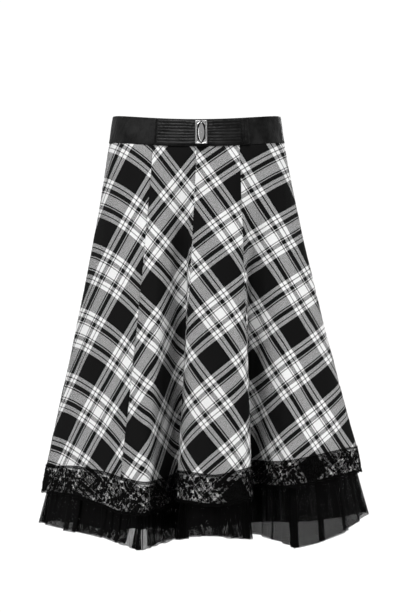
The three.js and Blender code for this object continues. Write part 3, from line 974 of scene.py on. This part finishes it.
# Sash and keepers. high: how far the tucks stand out, deep: how far they fall in between, and
# the sash is drawn in behind the buckle by pinch, over pinch_width
SASH = dict(start=-57, stop=64, half=17.6, pinch=1.9, pinch_width=16, tucks=8, high=2.5, deep=1.15)
BUCKLE = dict(x=6.6, width=17, height=33.6, thick=2.6)


def sash_half(x):
    return SASH["half"] - SASH["pinch"] * bump(x - BUCKLE["x"], SASH["pinch_width"])


def tuck_section(f):
    """One tuck's form, 0 to 1: it swells slowly and falls in sharply under its lower fold."""
    crest, lowest = 0.62, 0.8
    swell = np.where(f < lowest, np.sin(np.pi / 2 * np.clip(f / crest, 0, 1)) ** 0.8, 0)
    fall = np.cos(np.pi / 2 * np.clip((f - crest) / (1 - crest), 0, 1)) ** 0.55
    return np.where(f >= crest, fall, swell)


def make_sash():
    """Sash with lengthwise tucks that wander a little and crowd behind the buckle."""
    x = np.linspace(SASH["start"], SASH["stop"], 180)
    tucks = SASH["tucks"]
    f = np.linspace(0, 1, 14, endpoint=False)
    down = np.concatenate([(k + f) / tucks for k in range(tucks)] + [[1.0]])
    height_of = np.concatenate([tuck_section(f)] * tucks + [[0.0]])
    X, D = np.meshgrid(x, down)
    T = np.meshgrid(x, np.minimum((down * tucks).astype(int), tucks - 1))[1]
    half = sash_half(X)
    wander = 0.5 * np.sin(X * 0.07 + T * 1.7) + 0.25 * np.sin(X * 0.19 + T * 2.9)
    height = half * (1 - 2 * D) + wander * np.sin(np.pi * D) * 0.8
    vary = 0.85 + 0.15 * np.sin(X * 0.11 + T * 2.3)
    near = bump(X - BUCKLE["x"], 15)
    rise = height_of[:, None] * vary * (1 - 0.25 * near)
    level = SASH["high"] + 0.2 - SASH["deep"] * (1 - rise)
    level = level + 0.25 * near * np.sin((X - BUCKLE["x"]) * 0.9 + T)
    end = np.minimum(X - SASH["start"], SASH["stop"] - X)
    level = np.minimum(level, 0.6 + end * 0.9)
    turn = np.broadcast_to(turn_at(x), X.shape)
    outer = band_point(turn, height, SEAM + level)
    inner = band_point(turn, half * (1 - 2 * D), np.full(X.shape, SEAM + 0.1))
    slope = running(np.hypot(np.diff(down) * 2 * SASH["half"], np.diff(height_of) * 1.6))
    uv = pair(X, np.broadcast_to(slope[:, None], X.shape))
    return shell("sash_tucked", outer, inner, uv)


# Keepers: name, from and to across the front, thickness, how soft their dents are
KEEPERS = [("keeper_left", -62.5, -57.3, 2.0, 0.0), ("keeper_right", 64.3, 74.5, 2.2, 0.8)]
KEEPER_HALF = 18.6


def make_keeper(name, start, stop, thick, soft):
    """Crowned strip of satin over an end of the sash."""
    share = np.linspace(-1, 1, 26)
    X, H = np.meshgrid(np.linspace(start, stop, 26), np.linspace(KEEPER_HALF, -KEEPER_HALF, 44))
    crown = np.broadcast_to((1 - np.abs(share) ** 1.8) * (thick - 0.3) + 0.15, X.shape)
    dent = 0.35 * np.sin(H * 0.35 + 1) * (1 - np.abs(share) ** 2) * soft
    fold, swell = bump(X - start - 4.2 - 0.06 * H, 1.1), bump(X - start - 7 + 0.05 * H, 1.6)
    sag = soft * (0.4 * swell - 0.9 * fold)
    ends = np.clip((KEEPER_HALF - np.abs(H)) / 1.2, 0, 1) ** 0.5
    outer = band_point(turn_at(X), H, SEAM + (crown + dent + sag) * (0.5 + 0.5 * ends))
    inner = band_point(turn_at(X), H, np.full(X.shape, SEAM))
    return shell(name + "_strip", outer, inner, pair(H, X))


sash = finish_piece(make_sash(), SATIN, "band", "sash")
keepers = [finish_piece(make_keeper(*row), SATIN, "band", row[0]) for row in KEEPERS]


# Buckle
STONE = dict(half_width=4.7, half_length=15.2, dome=2.3, back=1.2)
# Section of the frame: share of the way from its outer edge to the hole, and how far below its
# face. The ditch round the stone starts at its row DITCH_ROW
FRAME_SECTION = [(0, BUCKLE["thick"]), (0, 0.7), (0.03, 0.25), (0.07, 0.05), (0.16, 0), (0.22, 0.12),
                 (0.27, 0.55), (0.58, 0.55), (0.64, 0.1), (0.7, 0.15), (0.78, 0.9), (1, 1.1),
                 (1, BUCKLE["thick"])]
DITCH_ROW = 9
FRAME_COLUMNS, FRAME_CORNER, STONE_GAP = 160, 1.2, 0.45
# Beads along both sides: radius, spacing, how far in from the frame's sides and ends, how deep
BEAD = dict(radius=0.52, pitch=1.32, side=2.3, end=2.6, sunk=0.45)


def stand_matrix():
    """From the buckle lying on its back to its place against the sash."""
    turn = float(turn_at(BUCKLE["x"]))
    lean = math.atan((BAND["foot_y"] - BAND["top_y"]) / (2 * BAND["half"]))
    seat = band_point(np.array(turn), np.array(0.0), np.array(SEAM + SASH["high"] + SEAM + 0.35))
    yaw = math.atan2(seat[0] * BAND["foot_y"] ** 2, -seat[1] * BAND["foot_x"] ** 2)
    cy, sy = math.cos(yaw), math.sin(yaw)
    cx, sx = math.cos(math.pi / 2 - lean), math.sin(math.pi / 2 - lean)
    about_z = np.array([[cy, -sy, 0], [sy, cy, 0], [0, 0, 1]])
    about_x = np.array([[1, 0, 0], [0, cx, -sx], [0, sx, cx]])
    return about_z @ about_x, np.array([BUCKLE["x"], seat[1], float(dip_at(math.radians(turn)))])


TURN_UP, SEAT = stand_matrix()


def stood(points):
    """Points of the lying buckle at their place on the skirt."""
    return np.asarray(points, float) @ TURN_UP.T + SEAT


def marquise(margin, count=48):
    """Pointed oval of two arcs, round the stone at a margin."""
    w, h = STONE["half_width"] + margin, STONE["half_length"] + margin
    radius = (w * w + h * h) / (2 * w)
    y = h * np.cos(np.linspace(0, np.pi, count // 2 + 1))[:-1]
    x = np.sqrt(radius ** 2 - y ** 2) - radius + w
    return np.concatenate([pair(-x, y), pair(x, -y)])


def ring_faces(rings, count, start=0):
    """Faces of a closed form from rings of count points each."""
    last = start + (rings - 1) * count
    return (grid_faces(rings, count, start, wrap=True).tolist()
            + [list(range(start, start + count))[::-1], list(range(last, last + count))])


def lifted(outline, z):
    return np.concatenate([outline, np.full((len(outline), 1), z)], 1)


def make_stone():
    """Polished dome of marquise outline."""
    outline = marquise(0)
    levels = [(1.0, 0.2), (1.0, STONE["back"] + 0.2)]
    levels += [(math.cos(a), STONE["back"] + 0.4 + (STONE["dome"] + 0.2) * math.sin(a) ** 0.9)
               for a in np.linspace(0.1, math.pi / 2 - 0.03, 14)]
    rings = [stood(lifted(outline * scale, z)) for scale, z in levels]
    return make_mesh("buckle_dome", np.concatenate(rings), ring_faces(len(rings), len(outline)))


def rounded_plate(half_width, half_height, corner, hole):
    """Plate outline sampled at the angles of the hole's points, so that the two join up."""
    direction = unit(hole)
    half = np.array([half_width, half_height])
    reach = (half / np.maximum(np.abs(direction), 1e-6)).min(-1)
    outline = np.abs(direction * reach[:, None])
    past = np.clip(outline - (half - corner), 0, None)
    excess = np.hypot(past[:, 0], past[:, 1])
    pull = np.where(excess > corner, corner / np.maximum(excess, 1e-6), 1)
    in_corner = (past > 0).all(-1)
    fixed = np.where(in_corner[:, None], half - corner + past * pull[:, None], outline)
    return np.sign(direction) * fixed


def make_frame():
    """Plate with a raised rim and a ditch round the stone; the ditch is near-black metal, painted dark also
    as the shade of the gap round the stone.
    """
    hole = marquise(STONE_GAP, FRAME_COLUMNS)
    plate = rounded_plate(BUCKLE["width"] / 2, BUCKLE["height"] / 2, FRAME_CORNER, hole)
    rings = [stood(lifted(plate + (hole - plate) * share, BUCKLE["thick"] - below))
             for share, below in FRAME_SECTION]
    faces = grid_faces(len(rings) + 1, FRAME_COLUMNS, wrap=True) % (len(rings) * FRAME_COLUMNS)
    frame_mesh = make_mesh("buckle_plate", np.concatenate(rings), faces)
    finish_piece(frame_mesh, METAL, "buckle", "buckle_frame")
    # The ditch rows get the near-black metal: painted shade of the gap round the stone
    frame_mesh.data.materials.append(DITCH_SHADE_METAL)
    for face in frame_mesh.data.polygons:
        face.material_index = int(DITCH_ROW <= face.index // FRAME_COLUMNS < len(rings))


def make_beads():
    """Row of small beads, of eight by six points each, along either side of the frame."""
    points, faces = [], []
    half_width, half_height = BUCKLE["width"] / 2, BUCKLE["height"] / 2
    for x in (BEAD["side"] - half_width, half_width - BEAD["side"]):
        for y in np.arange(BEAD["end"] - half_height, half_height - BEAD["side"], BEAD["pitch"]):
            centre = np.array([x, y, BUCKLE["thick"] - BEAD["sunk"]])
            rows = [BEAD["radius"] * lifted(circle(8) * math.cos(e), math.sin(e)) + centre
                    for e in np.linspace(-1.3, 1.45, 6)]
            faces += ring_faces(len(rows), 8, 8 * len(points))
            points += rows
    return make_mesh("buckle_beads", stood(np.concatenate(points)), faces)


finish_piece(make_stone(), STONE_FINISH, "stone", "buckle_stone")
make_frame()
finish_piece(make_beads(), METAL, "buckle")


# Floor
FLOOR_Z, FLOOR_REACH, FLOOR_SIDES = -1.04, 2.6, 96
rim = lifted(circle(FLOOR_SIDES) * FLOOR_REACH, FLOOR_Z)
fan = [[k, (k + 1) % FLOOR_SIDES, FLOOR_SIDES] for k in range(FLOOR_SIDES)]
floor = make_mesh("floor", np.concatenate([rim, [(0, 0, FLOOR_Z)]]) / MM, fan, smooth=False)
n = material_nodes("floor_paper")
spot = n.add("ShaderNodeVectorMath", n.place(), operation="LENGTH").outputs["Value"]
fade = n.add("ShaderNodeMapRange", spot, 1.3, 2.5, 1.0, 0.0).outputs[0]
speck = n.ramp(n.noise(n.place(), 40, 3), [(0.3, 0.87), (0.7, 0.9)])
floor.data.materials.append(n.surface(speck, 0.9, alpha=fade))

# Camera at the photo's angle, 3 m in front of the middle of the waist
camera_data = bpy.data.cameras.new("camera")
camera_data.lens = 120.5
camera_data.sensor_width = 36
camera_data.clip_end = 60
camera = bpy.data.objects.new("camera", camera_data)
camera.location = (0.0106, -3.0, -0.2573)
camera.rotation_euler = (math.pi / 2, 0, 0)
bpy.context.scene.collection.objects.link(camera)
bpy.context.scene.camera = camera
bpy.context.scene.view_settings.view_transform = "Standard"

# The room lights cloth evenly and is seen white, but gloss mirrors it as a darker studio
AIR_ON_CLOTH, AIR_IN_GLOSS, AIR_SEEN = 0.14, 0.32, 1.05
world = bpy.data.worlds.new("studio")
bpy.context.scene.world = world
n = Nodes(world)
path = n.add("ShaderNodeLightPath").outputs
cloth_air, gloss_air, seen_air = (n.add("ShaderNodeBackground", (1, 1, 1, 1), strength).outputs[0]
                                  for strength in (AIR_ON_CLOTH, AIR_IN_GLOSS, AIR_SEEN))
lit = n.add("ShaderNodeMixShader", path["Is Glossy Ray"], cloth_air, gloss_air).outputs[0]
air = n.add("ShaderNodeMixShader", path["Is Camera Ray"], lit, seen_air).outputs[0]
n.add("ShaderNodeOutputWorld", air)

# Soft boxes: name, place, width, height, watts, and whether gloss mirrors them
LAMPS = [("box_top", (-0.4, -1.5, 2.2), 1.4, 1.0, 74, True),
         ("box_front_left", (-2.2, -2.3, 0.4), 1.0, 1.4, 17, False),
         ("box_left", (-3.0, -1.0, 0.0), 0.8, 3.0, 20, True),
         ("box_right", (3.1, -0.6, 0.3), 1.0, 1.6, 62, False),
         ("box_back", (0.3, 2.9, 0.9), 1.8, 1.2, 42, True)]
AIM = (0, 0, -0.28)
for name, place, width, height, watts, mirrored in LAMPS:
    lamp = bpy.data.lights.new(name, "AREA")
    lamp.shape = "RECTANGLE"
    lamp.size, lamp.size_y, lamp.energy = width, height, watts
    obj = bpy.data.objects.new(name, lamp)
    obj.location = place
    obj.visible_glossy = mirrored
    aim = np.subtract(AIM, place)
    yaw = math.atan2(aim[1], aim[0]) - math.pi / 2
    pitch = math.atan2(aim[2], math.hypot(aim[0], aim[1]))
    obj.rotation_euler = (math.pi / 2 + pitch, 0, yaw)
    bpy.context.scene.collection.objects.link(obj)
